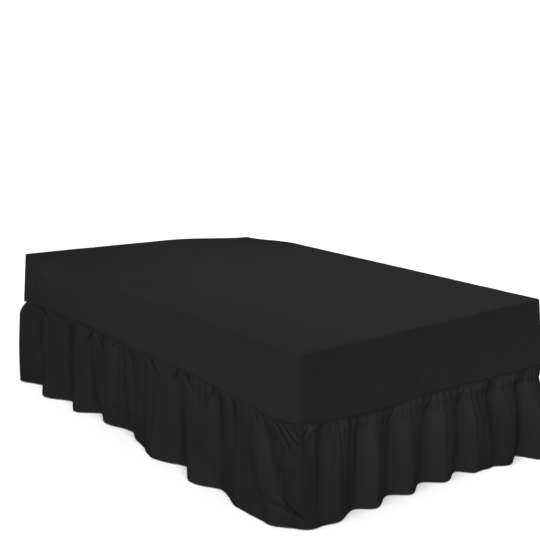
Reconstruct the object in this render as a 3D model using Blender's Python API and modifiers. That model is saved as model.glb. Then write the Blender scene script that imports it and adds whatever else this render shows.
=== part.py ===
"""A fitted valance sheet on a double bed: panel, gathered frill, mattress and base.

Metres, +Z up. X runs across the bed, Y along it with the head at +Y, and the origin is on the
floor under the middle of the bed. `place` is a distance measured round the frill's three sides,
from the head end of the -X side, past the foot, to the head end of the +X side.
"""
import math
from collections import namedtuple

import bmesh
import bpy
from mathutils import Vector

# The bed that the sheet is cut for
WIDTH = 1.37
LENGTH = 1.90
TOP_HEIGHT = 0.61
BASE_HEIGHT = 0.3797
GAP = 0.00035

# The fitted panel: one cloth over the top and down all four sides
PANEL_THICK = 0.0015
PANEL_EDGE = 0.014
HEAD_HEM_HEIGHT = 0.380
PANEL_CELLS_X = 14
PANEL_CELLS_Y = 20

# The top is worn down towards the head corner at +X
DIP_DEPTH = 0.026
DIP_LENGTH = 0.42
DIP_WIDTH = 0.55

# The frill: a strip gathered onto the lower edge of the walls
FRILL_THICK = 0.0015
FRILL_TUCK_UP = 0.012
FRILL_CORNER = 0.026
HEM_CORNER = 0.120
NECK = 0.16

# The blocks under the cloth
MATTRESS_INSET = 0.006
MATTRESS_EDGE = 0.030
MATTRESS_EXTRA_DIP = 0.002
BASE_INSET = 0.060
BASE_EDGE = 0.020

# Height of the seam between wall and frill, round the bed: it sags at the foot
Height = namedtuple("Height", "place height")
SEAM_HEIGHTS = [
    Height(0.00, 0.383),
    Height(0.35, 0.391),
    Height(0.65, 0.398),
    Height(0.95, 0.391),
    Height(1.26, 0.392),
    Height(1.60, 0.378),
    Height(1.81, 0.367),
    Height(1.90, 0.380),
    Height(2.05, 0.364),
    Height(2.27, 0.349),
    Height(2.45, 0.354),
    Height(2.77, 0.346),
    Height(3.03, 0.336),
    Height(3.27, 0.337),
    Height(3.45, 0.350),
    Height(4.07, 0.376),
    Height(5.17, 0.380),
]

# Height of the hem off the floor
HEM_HEIGHTS = [
    Height(0.00, 0.008),
    Height(1.90, 0.005),
    Height(3.27, 0.005),
    Height(4.42, 0.008),
    Height(5.17, 0.012),
]

# The base stands proud of the mattress at the foot, so the walls lean out to it: how far each
# corner of the bed is carried outwards at LEAN_HEIGHT. The top and the floor have no lean.
LEAN_HEIGHT = 0.33
HEAD_NEAR = Vector((-0.015, 0.0, 0.0))
HEAD_FAR = Vector((0.0, 0.0, 0.0))
FOOT_NEAR = Vector((0.0, -0.012, 0.0))
FOOT_FAR = Vector((0.015, -0.040, 0.0))

# Every crest and hollow of the frill, head to head: where it leaves the seam, where it meets
# the hem, and how far it stands out from the wall's plane just under the seam and at the hem
Fold = namedtuple("Fold", "seam hem high low")
NEAR_SIDE_FOLDS = [
    Fold(0.028, 0.052, 0.032, 0.056),
    Fold(0.150, 0.190, -0.002, -0.002),
    Fold(0.262, 0.300, 0.024, 0.067),
    Fold(0.395, 0.460, -0.006, -0.012),
    Fold(0.500, 0.545, 0.019, 0.045),
    Fold(0.600, 0.650, -0.010, -0.044),
    Fold(0.700, 0.730, 0.015, 0.002),
    Fold(0.845, 0.890, -0.009, -0.038),
    Fold(0.950, 0.990, 0.014, -0.002),
    Fold(1.080, 1.150, 0.022, 0.036),
    Fold(1.225, 1.300, -0.008, -0.024),
    Fold(1.345, 1.395, 0.022, 0.040),
    Fold(1.470, 1.528, -0.006, -0.012),
]
NEAR_CORNER_FOLDS = [
    Fold(1.560, 1.655, 0.020, 0.023),
    Fold(1.615, 1.735, 0.012, 0.020),
    Fold(1.665, 1.800, 0.024, 0.015),
    Fold(1.725, 1.900, -0.008, 0.008),
    Fold(1.850, 1.960, 0.022, 0.022),
    Fold(1.990, 2.008, -0.010, 0.020),
]
FOOT_FOLDS = [
    Fold(2.050, 2.084, 0.028, 0.038),
    Fold(2.168, 2.188, 0.000, 0.006),
    Fold(2.222, 2.264, 0.030, 0.049),
    Fold(2.328, 2.360, 0.002, 0.008),
    Fold(2.385, 2.446, 0.032, 0.054),
    Fold(2.516, 2.544, 0.000, 0.014),
    Fold(2.572, 2.630, 0.034, 0.069),
    Fold(2.706, 2.728, 0.002, 0.036),
    Fold(2.757, 2.790, 0.034, 0.087),
    Fold(2.915, 2.882, 0.002, 0.096),
    Fold(2.974, 2.964, 0.036, 0.128),
    Fold(3.120, 3.048, 0.000, 0.092),
    Fold(3.165, 3.112, 0.032, 0.172),
]
FAR_CORNER_FOLDS = [
    Fold(3.255, 3.230, 0.006, 0.136),
    Fold(3.320, 3.320, 0.034, 0.160),
    Fold(3.410, 3.430, -0.006, 0.090),
]
FAR_SIDE_FOLDS = [
    Fold(3.510, 3.540, 0.034, 0.108),
    Fold(3.620, 3.650, -0.010, 0.034),
    Fold(3.735, 3.765, 0.032, 0.062),
    Fold(3.850, 3.870, -0.012, 0.002),
    Fold(3.970, 3.985, 0.030, 0.048),
    Fold(4.085, 4.090, -0.010, -0.004),
    Fold(4.215, 4.220, 0.034, 0.042),
    Fold(4.355, 4.350, -0.014, -0.018),
    Fold(4.470, 4.475, 0.028, 0.034),
    Fold(4.590, 4.595, -0.014, -0.024),
    Fold(4.715, 4.710, 0.030, 0.028),
    Fold(4.840, 4.845, -0.012, -0.006),
    Fold(4.965, 4.970, 0.032, 0.044),
    Fold(5.065, 5.075, 0.000, 0.010),
    Fold(5.142, 5.162, 0.032, 0.034),
]
FOLDS = NEAR_SIDE_FOLDS + NEAR_CORNER_FOLDS + FOOT_FOLDS + FAR_CORNER_FOLDS + FAR_SIDE_FOLDS
COLUMNS_PER_FOLD = 4

# Rows of the frill, as shares of its drop from the seam, below the row tucked up behind the wall
FRILL_ROWS = [0.01, 0.07, NECK, 0.40, 0.70, 1.00]


def ease(share):
    """Smooth step: 0 to 1 with level ends."""
    share = min(max(share, 0.0), 1.0)
    return share * share * (3.0 - 2.0 * share)


def mix(start, end, share):
    return start + (end - start) * share


def height_at(rows, place):
    """Height at a place round the bed, eased between the rows of a table."""
    for low, high in zip(rows, rows[1:]):
        if place <= high.place:
            share = (place - low.place) / (high.place - low.place)
            return mix(low.height, high.height, ease(share))
    return rows[-1].height


def outline(place, corner):
    """Point and outward normal of the bed's outline in plan, its foot corners rounded.

    A corner's arc takes the same length of `place` as the two straights that it replaces.
    """
    near, far = LENGTH, LENGTH + WIDTH
    half_width, half_length = WIDTH / 2, LENGTH / 2
    if place < near - corner:
        return (-half_width, half_length - place), (-1.0, 0.0)
    if near + corner < place < far - corner:
        return (place - near - half_width, -half_length), (0.0, -1.0)
    if place > far + corner:
        return (half_width, place - far - half_length), (1.0, 0.0)
    turning_near = place <= near + corner
    start = (near if turning_near else far) - corner
    turn = (place - start) / (2 * corner) * math.pi / 2
    normal = (-math.cos(turn), -math.sin(turn))
    if not turning_near:
        normal = (-normal[1], normal[0])
    side = -1.0 if turning_near else 1.0
    centre = (side * (half_width - corner), corner - half_length)
    return (centre[0] + normal[0] * corner, centre[1] + normal[1] * corner), normal


def place_of(x, y):
    """The place round the bed of a point on one of the panel's walls; None on the head wall."""
    if y > LENGTH / 2 - 1e-6:
        return None
    if x < -WIDTH / 2 + 1e-6:
        return LENGTH / 2 - y
    if y < -LENGTH / 2 + 1e-6:
        return LENGTH + WIDTH / 2 + x
    return LENGTH + WIDTH + LENGTH / 2 + y


def dip_at(x, y):
    """How far the worn corner lies below the level top, 0 to 1."""
    along = ease((y - (LENGTH / 2 - DIP_LENGTH)) / DIP_LENGTH)
    across = ease((x - (WIDTH / 2 - DIP_WIDTH)) / DIP_WIDTH)
    return along * across


def material(name, colour, roughness):
    surface = bpy.data.materials.new(name)
    surface.use_nodes = True
    shader = surface.node_tree.nodes["Principled BSDF"]
    shader.inputs["Base Color"].default_value = (*colour, 1.0)
    shader.inputs["Roughness"].default_value = roughness
    shader.inputs["Metallic"].default_value = 0.0
    return surface


def lean_out(bm):
    """Carry each point outwards by the lean of the four corners round it."""
    for vert in bm.verts:
        if vert.co.z > LEAN_HEIGHT:
            share = (TOP_HEIGHT - vert.co.z) / (TOP_HEIGHT - LEAN_HEIGHT)
        else:
            share = vert.co.z / LEAN_HEIGHT
        across = vert.co.x / WIDTH + 0.5
        head = HEAD_NEAR.lerp(HEAD_FAR, across)
        foot = FOOT_NEAR.lerp(FOOT_FAR, across)
        vert.co += head.lerp(foot, 0.5 - vert.co.y / LENGTH) * share


def add_object(collection, name, bm, surface):
    lean_out(bm)
    mesh = bpy.data.meshes.new(name)
    bm.to_mesh(mesh)
    bm.free()
    mesh.materials.append(surface)
    mesh.shade_smooth()
    mesh.set_sharp_from_angle(angle=math.radians(40))
    made = bpy.data.objects.new(name, mesh)
    collection.objects.link(made)
    return made


def add_bevel(target, radius, segments):
    bevel = target.modifiers.new("Rounded edges", "BEVEL")
    bevel.width = radius
    bevel.segments = segments
    bevel.limit_method = "ANGLE"
    bevel.angle_limit = math.radians(60)


def add_thickness(target, thickness, offset):
    cloth = target.modifiers.new("Cloth", "SOLIDIFY")
    cloth.thickness = thickness
    cloth.offset = offset
    cloth.use_even_offset = True


def box(width, length, bottom, top):
    """A box centred on the bed, as a bmesh."""
    bm = bmesh.new()
    bmesh.ops.create_cube(bm, size=1.0)
    for vert in bm.verts:
        vert.co.x *= width
        vert.co.y *= length
        vert.co.z = top if vert.co.z > 0 else bottom
    return bm


def divide(bm, axis, cuts):
    """Cut every edge that runs along an axis, and the faces between them."""
    along = []
    for edge in bm.edges:
        run = edge.verts[1].co - edge.verts[0].co
        if abs(run[axis]) > 0.9 * run.length:
            along.append(edge)
    bmesh.ops.subdivide_edges(bm, edges=along, cuts=cuts, use_grid_fill=True)


def build_fitted_panel(collection, surface):
    """Top and four walls in one cloth: an open box whose lower edge follows the seam."""
    bm = box(WIDTH, LENGTH, HEAD_HEM_HEIGHT, TOP_HEIGHT)
    underside = [face for face in bm.faces if face.normal.z < -0.5]
    bmesh.ops.delete(bm, geom=underside, context="FACES_ONLY")
    divide(bm, 0, PANEL_CELLS_X - 1)
    divide(bm, 1, PANEL_CELLS_Y - 1)
    for vert in bm.verts:
        x, y, z = vert.co
        if z > (TOP_HEIGHT + HEAD_HEM_HEIGHT) / 2:
            vert.co.z = TOP_HEIGHT - DIP_DEPTH * dip_at(x, y)
        elif place_of(x, y) is not None:
            vert.co.z = height_at(SEAM_HEIGHTS, place_of(x, y))
    panel = add_object(collection, "fitted_panel", bm, surface)
    add_bevel(panel, PANEL_EDGE, 3)
    add_thickness(panel, PANEL_THICK, -1.0)


def frill_columns():
    """Fold values for every column of the frill, rounded between crest and hollow."""
    columns = []
    for first, second in zip(FOLDS, FOLDS[1:]):
        for step in range(COLUMNS_PER_FOLD):
            share = step / COLUMNS_PER_FOLD
            rounded = ease(share)
            columns.append(Fold(
                mix(first.seam, second.seam, share),
                mix(first.hem, second.hem, share),
                mix(first.high, second.high, rounded),
                mix(first.low, second.low, rounded),
            ))
    columns.append(FOLDS[-1])
    return columns


def frill_point(fold, drop):
    """A point of the frill: `drop` is 0 at the seam, 1 at the hem, below 0 behind the wall."""
    behind = -(PANEL_THICK + GAP + FRILL_THICK / 2)
    fall = max(drop, 0.0)
    if fall <= NECK:
        out = mix(behind, fold.high, ease((fall - FRILL_ROWS[0]) / (NECK - FRILL_ROWS[0])))
    else:
        out = mix(fold.high, fold.low, (fall - NECK) / (1.0 - NECK))
    place = mix(fold.seam, fold.hem, fall)
    point, normal = outline(place, mix(FRILL_CORNER, HEM_CORNER, fall))
    seam = height_at(SEAM_HEIGHTS, fold.seam)
    hem = height_at(HEM_HEIGHTS, fold.hem)
    height = seam + FRILL_TUCK_UP if drop < 0 else mix(seam, hem, drop)
    return point[0] + normal[0] * out, point[1] + normal[1] * out, height


def build_frill(collection, surface):
    """The gathered strip: a grid of columns round the bed and rows down the drop."""
    columns = frill_columns()
    rows = [-1.0] + FRILL_ROWS
    bm = bmesh.new()
    bmesh.ops.create_grid(
        bm, x_segments=len(columns) - 1, y_segments=len(rows) - 1, size=0.5)
    for vert in bm.verts:
        column = round((vert.co.x + 0.5) * (len(columns) - 1))
        row = round((0.5 - vert.co.y) * (len(rows) - 1))
        vert.co = frill_point(columns[column], rows[row])
    frill = add_object(collection, "frill", bm, surface)
    add_thickness(frill, FRILL_THICK, 0.0)


def build_mattress(collection, surface):
    """The block that the panel is pulled over, worn down with it at one corner."""
    bottom = BASE_HEIGHT + GAP
    top = TOP_HEIGHT - PANEL_THICK - GAP
    bm = box(WIDTH - 2 * MATTRESS_INSET, LENGTH - 2 * MATTRESS_INSET, bottom, top)
    divide(bm, 0, PANEL_CELLS_X - 1)
    divide(bm, 1, PANEL_CELLS_Y - 1)
    for vert in bm.verts:
        if vert.co.z > (top + bottom) / 2:
            vert.co.z -= (DIP_DEPTH + MATTRESS_EXTRA_DIP) * dip_at(vert.co.x, vert.co.y)
    mattress = add_object(collection, "mattress", bm, surface)
    add_bevel(mattress, MATTRESS_EDGE, 3)


def build_bed_base(collection, surface):
    """The plain box that carries the mattress and stands flat on the floor."""
    bm = box(WIDTH - 2 * BASE_INSET, LENGTH - 2 * BASE_INSET, 0.0, BASE_HEIGHT)
    base = add_object(collection, "bed_base", bm, surface)
    add_bevel(base, BASE_EDGE, 3)


for old in list(bpy.data.objects):
    bpy.data.objects.remove(old)

valance = bpy.data.collections.new("Fitted valance sheet")
bpy.context.scene.collection.children.link(valance)

build_fitted_panel(valance, material("Panel cloth", (0.020, 0.020, 0.020), 0.85))
build_frill(valance, material("Frill cloth", (0.018, 0.018, 0.018), 0.85))
build_mattress(valance, material("Mattress ticking", (0.72, 0.70, 0.66), 0.80))
build_bed_base(valance, material("Base fabric", (0.32, 0.31, 0.29), 0.85))
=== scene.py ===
import math
from collections import namedtuple

import bpy
import numpy as np
from mathutils import Euler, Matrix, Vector


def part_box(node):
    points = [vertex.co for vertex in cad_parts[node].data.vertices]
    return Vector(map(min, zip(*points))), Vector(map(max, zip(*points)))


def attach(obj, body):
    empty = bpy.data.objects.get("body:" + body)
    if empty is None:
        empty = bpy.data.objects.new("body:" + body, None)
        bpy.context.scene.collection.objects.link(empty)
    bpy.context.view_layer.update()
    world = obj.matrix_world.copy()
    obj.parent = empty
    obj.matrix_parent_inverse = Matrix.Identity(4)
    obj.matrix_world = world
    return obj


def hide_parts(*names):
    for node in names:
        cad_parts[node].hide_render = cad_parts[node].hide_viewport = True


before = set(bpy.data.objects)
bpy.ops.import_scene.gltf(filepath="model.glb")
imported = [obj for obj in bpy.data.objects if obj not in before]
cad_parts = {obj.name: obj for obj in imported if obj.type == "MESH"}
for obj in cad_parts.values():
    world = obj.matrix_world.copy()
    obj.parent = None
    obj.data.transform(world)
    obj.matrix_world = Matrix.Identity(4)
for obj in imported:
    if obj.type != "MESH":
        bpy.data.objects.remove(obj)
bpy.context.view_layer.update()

scene = bpy.context.scene


# ---------------------------------------------------------------------------------------------
# The studio: a pale floor that is lit to white, an even white sky, and one broad soft lamp high up,
# off the near side and the foot. The camera stands off the near foot corner and looks down a little.
CAMERA_AT = (-2.4169, -2.7372, 1.3864)
CAMERA_HEADING = math.radians(41.75)
CAMERA_DOWN = math.radians(11.66)
CAMERA_ROLL = math.radians(2.37)
CAMERA_LENS_MM = 56.02
FLOOR_HALF = 30.0
FLOOR_COLOUR = (0.40, 0.40, 0.40, 1.0)
SKY_STRENGTH = 1.02
LAMP_FROM = (-0.55, -0.375, 0.746)
LAMP_STRENGTH = 8.0
LAMP_SPREAD = math.radians(64.0)

scene.view_settings.view_transform = "Standard"
scene.view_settings.look = "None"
scene.view_settings.exposure = 0.0
scene.view_settings.gamma = 1.0

world = bpy.data.worlds.new("white_sky")
world.use_nodes = True
world.node_tree.nodes["Background"].inputs["Color"].default_value = (1.0, 1.0, 1.0, 1.0)
world.node_tree.nodes["Background"].inputs["Strength"].default_value = SKY_STRENGTH
scene.world = world

lens = bpy.data.cameras.new("camera")
lens.lens = CAMERA_LENS_MM
lens.sensor_width = 36.0
lens.clip_start = 0.1
lens.clip_end = 200.0
camera = bpy.data.objects.new("camera", lens)
camera.location = CAMERA_AT
turned = Euler((math.pi / 2 - CAMERA_DOWN, 0.0, -CAMERA_HEADING), "XYZ").to_matrix()
camera.rotation_euler = (turned @ Euler((0.0, 0.0, CAMERA_ROLL)).to_matrix()).to_euler()
scene.collection.objects.link(camera)
scene.camera = camera

lamp_data = bpy.data.lights.new("soft_lamp", "SUN")
lamp_data.energy = LAMP_STRENGTH
lamp_data.angle = LAMP_SPREAD
lamp = bpy.data.objects.new("soft_lamp", lamp_data)
lamp.rotation_euler = (-Vector(LAMP_FROM)).to_track_quat("-Z", "Y").to_euler()
scene.collection.objects.link(lamp)

floor_mesh = bpy.data.meshes.new("floor")
floor_corners = [(-1, -1), (1, -1), (1, 1), (-1, 1)]
floor_mesh.from_pydata([(x * FLOOR_HALF, y * FLOOR_HALF, 0.0) for x, y in floor_corners], [], [(0, 1, 2, 3)])
floor = bpy.data.objects.new("floor", floor_mesh)
scene.collection.objects.link(floor)
floor_paint = bpy.data.materials.new("white_floor")
floor_paint.use_nodes = True
floor_shader = floor_paint.node_tree.nodes["Principled BSDF"]
floor_shader.inputs["Base Color"].default_value = FLOOR_COLOUR
floor_shader.inputs["Roughness"].default_value = 1.0
floor_shader.inputs["Specular IOR Level"].default_value = 0.0
floor_mesh.materials.append(floor_paint)


# ---------------------------------------------------------------------------------------------
# The bed base: a plain box covered in grey woven upholstery cloth, pulled tight and stapled
# underneath. It carries the mattress and stands on the floor, hidden by the frill on three sides.
BASE_COLOUR = (0.30, 0.29, 0.27, 1.0)
BASE_DARK = (0.19, 0.185, 0.175, 1.0)
BASE_THREAD = 0.0022
BASE_DUST, BASE_DUST_HEIGHT = 0.25, 0.09

# What all the cloths share. Slubs: their noise's scale along and across a thread, its middle value,
# and their height beside the weave's. Blotches: the scales of the broad and the close noise, and the
# close one's part. Tone: the share of the pale colour before it is made uneven, how rough the deep
# colour is, and how much less so the pale one.
SLUB_ALONG, SLUB_ACROSS, SLUB_MIDDLE, SLUB_HEIGHT = 14.0, 420.0, 1.06, 1.5
BROAD_SCALE, CLOSE_SCALE, CLOSE_SHARE = 5.0, 70.0, 0.6
PALE_SHARE = 0.35
ROUGH_DEEP, ROUGH_LOSS = 0.92, 0.10


def shader_group(name, inputs, outputs):
    """A shader node group with its named sockets: (name, kind, value) each; returns it and its ends."""
    group = bpy.data.node_groups.new(name, "ShaderNodeTree")
    for label, kind, value in inputs:
        socket = group.interface.new_socket(label, in_out="INPUT", socket_type="NodeSocket" + kind)
        if value is not None:
            socket.default_value = value
    for label, kind in outputs:
        group.interface.new_socket(label, in_out="OUTPUT", socket_type="NodeSocket" + kind)
    return group, group.nodes.new("NodeGroupInput"), group.nodes.new("NodeGroupOutput")


def put(tree, kind, settings=None, **wires):
    """A node in a tree. `settings` are its own options; each wire is a socket (by name, _ for a
    space, or by number as n0, n1) and the value or the other node's output that goes into it."""
    node = tree.nodes.new("ShaderNode" + kind)
    for option, value in (settings or {}).items():
        setattr(node, option, value)
    for label, value in wires.items():
        numbered = label[0] == "n" and label[1:].isdigit()
        socket = node.inputs[int(label[1:])] if numbered else node.inputs[label.replace("_", " ")]
        if isinstance(value, bpy.types.NodeSocket):
            tree.links.new(value, socket)
        else:
            socket.default_value = value
    return node


def reckon(tree, operation, first, second=0.0, third=0.0):
    """One Math node: its operation on up to three numbers or outputs."""
    return put(tree, "Math", {"operation": operation}, n0=first, n1=second, n2=third).outputs[0]


def make_threads():
    """Plain weave: thread crowns at sin(kx)·sin(ky), summed over the three planes so that it lies
    the same way on every side of a box, and fine slubs as noise drawn out along each direction."""
    group, given, gives = shader_group(
        "woven_threads",
        [("Vector", "Vector", None), ("Thread", "Float", 0.001), ("Slubs", "Float", 1.0)],
        [("Height", "Float"), ("Tone", "Float")],
    )
    split = put(group, "SeparateXYZ", n0=given.outputs["Vector"])
    turns = reckon(group, "DIVIDE", math.pi, given.outputs["Thread"])
    waves = [reckon(group, "SINE", reckon(group, "MULTIPLY", split.outputs[i], turns)) for i in range(3)]
    crowns = reckon(group, "MULTIPLY", waves[0], waves[1])
    crowns = reckon(group, "MULTIPLY_ADD", waves[1], waves[2], crowns)
    crowns = reckon(group, "MULTIPLY_ADD", waves[2], waves[0], crowns)
    drawn = []
    for way in range(3):
        stretch = [SLUB_ALONG if way == axis else SLUB_ACROSS for axis in range(3)]
        scaled = put(group, "VectorMath", {"operation": "MULTIPLY"}, n0=given.outputs["Vector"], n1=stretch)
        noise = put(group, "TexNoise", Vector=scaled.outputs[0], Scale=1.0, Detail=1.0, Roughness=0.5)
        drawn.append(noise.outputs[0])
    slubs = reckon(group, "ADD", reckon(group, "MAXIMUM", drawn[0], drawn[1]), drawn[2])
    slubs = reckon(group, "MULTIPLY", reckon(group, "SUBTRACT", slubs, SLUB_MIDDLE), given.outputs["Slubs"])
    group.links.new(reckon(group, "MULTIPLY_ADD", slubs, SLUB_HEIGHT, crowns), gives.inputs["Height"])
    group.links.new(reckon(group, "ADD", slubs, 0.5), gives.inputs["Tone"])
    return group


def make_tone():
    """Cloth colour, from the deep to the pale one by a share: PALE_SHARE, plus the mask that each material
    gives for its wear, dust, painted light and painted shade, plus Blotches times the sum of the broad
    noise,
    CLOSE_SHARE of the close one and the thread tone, each less a half. The roughness goes down with the
    share."""
    group, given, gives = shader_group(
        "cloth_tone",
        [("Vector", "Vector", None), ("Deep", "Color", None), ("Pale", "Color", None),
         ("Thread tone", "Float", 0.5), ("Worn", "Float", 0.0), ("Blotches", "Float", 0.5)],
        [("Colour", "Color"), ("Roughness", "Float")],
    )
    where = given.outputs["Vector"]
    broad = put(group, "TexNoise", Vector=where, Scale=BROAD_SCALE, Detail=3.0, Roughness=0.55)
    close = put(group, "TexNoise", Vector=where, Scale=CLOSE_SCALE, Detail=4.0, Roughness=0.6)
    share = reckon(group, "MULTIPLY_ADD", reckon(group, "SUBTRACT", broad.outputs[0], 0.5),
                   given.outputs["Blotches"], PALE_SHARE)
    share = reckon(group, "MULTIPLY_ADD", reckon(group, "SUBTRACT", close.outputs[0], 0.5),
                   reckon(group, "MULTIPLY", given.outputs["Blotches"], CLOSE_SHARE), share)
    share = reckon(group, "MULTIPLY_ADD", reckon(group, "SUBTRACT", given.outputs["Thread tone"], 0.5),
                   given.outputs["Blotches"], share)
    share = reckon(group, "ADD", share, given.outputs["Worn"])
    mixed = put(group, "Mix", {"data_type": "RGBA"})
    group.links.new(share, mixed.inputs[0])
    group.links.new(given.outputs["Deep"], mixed.inputs[6])
    group.links.new(given.outputs["Pale"], mixed.inputs[7])
    group.links.new(mixed.outputs[2], gives.inputs["Colour"])
    rough = reckon(group, "MULTIPLY_ADD", share, -ROUGH_LOSS, ROUGH_DEEP)
    group.links.new(rough, gives.inputs["Roughness"])
    return group


THREADS = make_threads()
TONE = make_tone()


def place_group(tree, group, **wires):
    """One placed copy of a shared group, with its own values."""
    return put(tree, "Group", {"node_tree": group}, **wires)


def start_cloth(name):
    """A new material and its node tree."""
    made = bpy.data.materials.new(name)
    made.use_nodes = True
    return made, made.node_tree


def finish_cloth(tree, colour, rough, relief, strength, depth, shine):
    """The shader's colour, roughness and shine, and its normal from the relief as a bump."""
    shader = tree.nodes["Principled BSDF"]
    bump = put(tree, "Bump", Strength=strength, Distance=depth, Height=relief)
    tree.links.new(colour, shader.inputs["Base Color"])
    tree.links.new(rough, shader.inputs["Roughness"])
    tree.links.new(bump.outputs[0], shader.inputs["Normal"])
    shader.inputs["Specular IOR Level"].default_value = shine


def base_cloth():
    """Grey upholstery cloth: coarse plain weave, mottled, a little dusty towards the floor."""
    made, tree = start_cloth("base_upholstery")
    where = put(tree, "TexCoord").outputs["Object"]
    threads = place_group(tree, THREADS, Vector=where, Thread=BASE_THREAD, Slubs=1.2)
    low = put(tree, "SeparateXYZ", n0=where).outputs[2]
    dusty = put(tree, "MapRange", Value=low, From_Min=0.0, From_Max=BASE_DUST_HEIGHT,
                To_Min=BASE_DUST, To_Max=0.0).outputs[0]
    tone = place_group(tree, TONE, Vector=where, Deep=BASE_DARK, Pale=BASE_COLOUR,
                       Thread_tone=threads.outputs["Tone"], Worn=dusty, Blotches=0.8)
    finish_cloth(tree, tone.outputs["Colour"], tone.outputs["Roughness"], threads.outputs["Height"],
                 strength=0.7, depth=0.0005, shine=0.25)
    tree.nodes["Principled BSDF"].inputs["Sheen Weight"].default_value = 0.15
    return made


def dress_node(name, finish):
    """The finish goes on a CAD node in every one of its material slots."""
    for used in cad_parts[name].material_slots:
        used.material = finish


dress_node("bed_base", base_cloth())


# ---------------------------------------------------------------------------------------------
# The mattress: a sprung block in cream striped ticking, a woven twill. The fitted panel covers
# its top and sides, so only its underside edge is ever glimpsed.
TICKING_SHADE = (0.62, 0.59, 0.53, 1.0)
TICKING_CREAM = (0.72, 0.69, 0.62, 1.0)
TICKING_STRIPE = (0.42, 0.45, 0.50, 1.0)
TICKING_THREAD = 0.0010
STRIPE_PITCH, STRIPE_HALF = 0.045, 0.09


def ticking():
    """Ticking: cream cloth with a narrow grey-blue stripe along the mattress at each pitch. Half the
    stripe's width is a share of the pitch."""
    made, tree = start_cloth("mattress_ticking")
    where = put(tree, "TexCoord").outputs["Object"]
    threads = place_group(tree, THREADS, Vector=where, Thread=TICKING_THREAD, Slubs=0.8)
    across = put(tree, "SeparateXYZ", n0=where).outputs[0]
    phase = reckon(tree, "FRACT", reckon(tree, "DIVIDE", across, STRIPE_PITCH))
    stripe = reckon(tree, "COMPARE", phase, 0.5, STRIPE_HALF)
    tone = place_group(tree, TONE, Vector=where, Deep=TICKING_SHADE, Pale=TICKING_CREAM,
                       Thread_tone=threads.outputs["Tone"], Worn=0.2, Blotches=0.5)
    mixed = put(tree, "Mix", {"data_type": "RGBA"})
    tree.links.new(stripe, mixed.inputs[0])
    tree.links.new(tone.outputs["Colour"], mixed.inputs[6])
    mixed.inputs[7].default_value = TICKING_STRIPE
    finish_cloth(tree, mixed.outputs[2], tone.outputs["Roughness"], threads.outputs["Height"],
                 strength=0.5, depth=0.0003, shine=0.3)
    return made


dress_node("mattress", ticking())


# ---------------------------------------------------------------------------------------------
# The fitted panel: one black cloth over the top and down the four sides of the mattress, closed
# by a sewn seam at each corner. The frill is sewn to its lower edge; at the head that edge is hemmed.
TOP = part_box("fitted_panel")[1].z
HALF_WIDTH = 0.685
HALF_LENGTH = 0.950

# Place is a distance round the bed from the head end of the -X side, past the foot, to the head end
# of the +X side and back along the head: NEAR, FAR and ROUND are the next three corners' places
NEAR = 2 * HALF_LENGTH
FAR = NEAR + 2 * HALF_WIDTH
ROUND = FAR + 2 * HALF_LENGTH

EDGE_RADIUS = 0.006
CORNER_RADIUS = 0.008

# The grid's rings: over the top, round its edge, down the walls and turned up behind the seam. The
# last ones are given by how far each lies in from the wall and above the seam.
TOP_RINGS, EDGE_RINGS, WALL_RINGS = 88, 6, 44
SEAM_IN = np.array([0.0, 0.0000, 0.0002, 0.0006, 0.0012, 0.0030, 0.0034])
SEAM_UP = np.array([0.0, 0.0045, 0.0030, 0.0015, 0.0000, 0.0015, 0.0080])
TURNED_RINGS = len(SEAM_UP) - 1
RINGS = TOP_RINGS + EDGE_RINGS + WALL_RINGS + TURNED_RINGS
WALL_FOOT = 0.0065

# Points are set closer towards the corners: how many steps from one, and how far those reach
CLOSE_STEPS, CLOSE_REACH = 14, 0.045
CLOSER_STEPS, CLOSER_REACH = 6, 0.009

# The top is worn down towards the far head corner, and is a little slack elsewhere
DIP_DEPTH, DIP_LENGTH, DIP_WIDTH = 0.026, 0.42, 0.55
TOP_SLACK, TOP_SLACK_PITCH, SIDE_SLACK_LOSS = 0.0013, 0.62, 0.4
TOP_CREASE, TOP_CREASE_PITCH = 0.0003, 0.16
WALL_SLACK, WALL_SLACK_PITCH, SLACK_FREE = 0.0011, 0.30, 0.05
LIFT_LIMITS = (-0.0035, 0.0030)

# Corner seams: a ridge with a groove beside it, and puckers up the seam. Lower seam: puckers above
# it, which go in and out and up and down
SEAM_RIDGE, SEAM_WIDTH = 0.0001, 0.0020
GROOVE, GROOVE_AT, GROOVE_WIDTH = 0.0003, 0.0050, 0.0025
PUCKER, PUCKER_AT, PUCKER_WIDTH, PUCKER_PITCH = 0.0005, 0.006, 0.005, 0.0105
LOW_PUCKER_OUT, LOW_PUCKER_UP, LOW_PUCKER_HEIGHT = 0.0018, 0.0014, 0.014

# Stitches: their pitch, how far from a seam they run, half the width of the line, and how high it
# stands in the material's relief (sunk, where negative)
STITCH_PITCH = 0.0032
SEAM_STITCH_AT, SEAM_STITCH_WIDTH = 0.0045, 0.0006
LOW_STITCH_AT, LOW_STITCH_WIDTH = 0.0045, 0.0005
STITCH_HEIGHT, LOW_STITCH_HEIGHT = 1.5, -1.2

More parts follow.
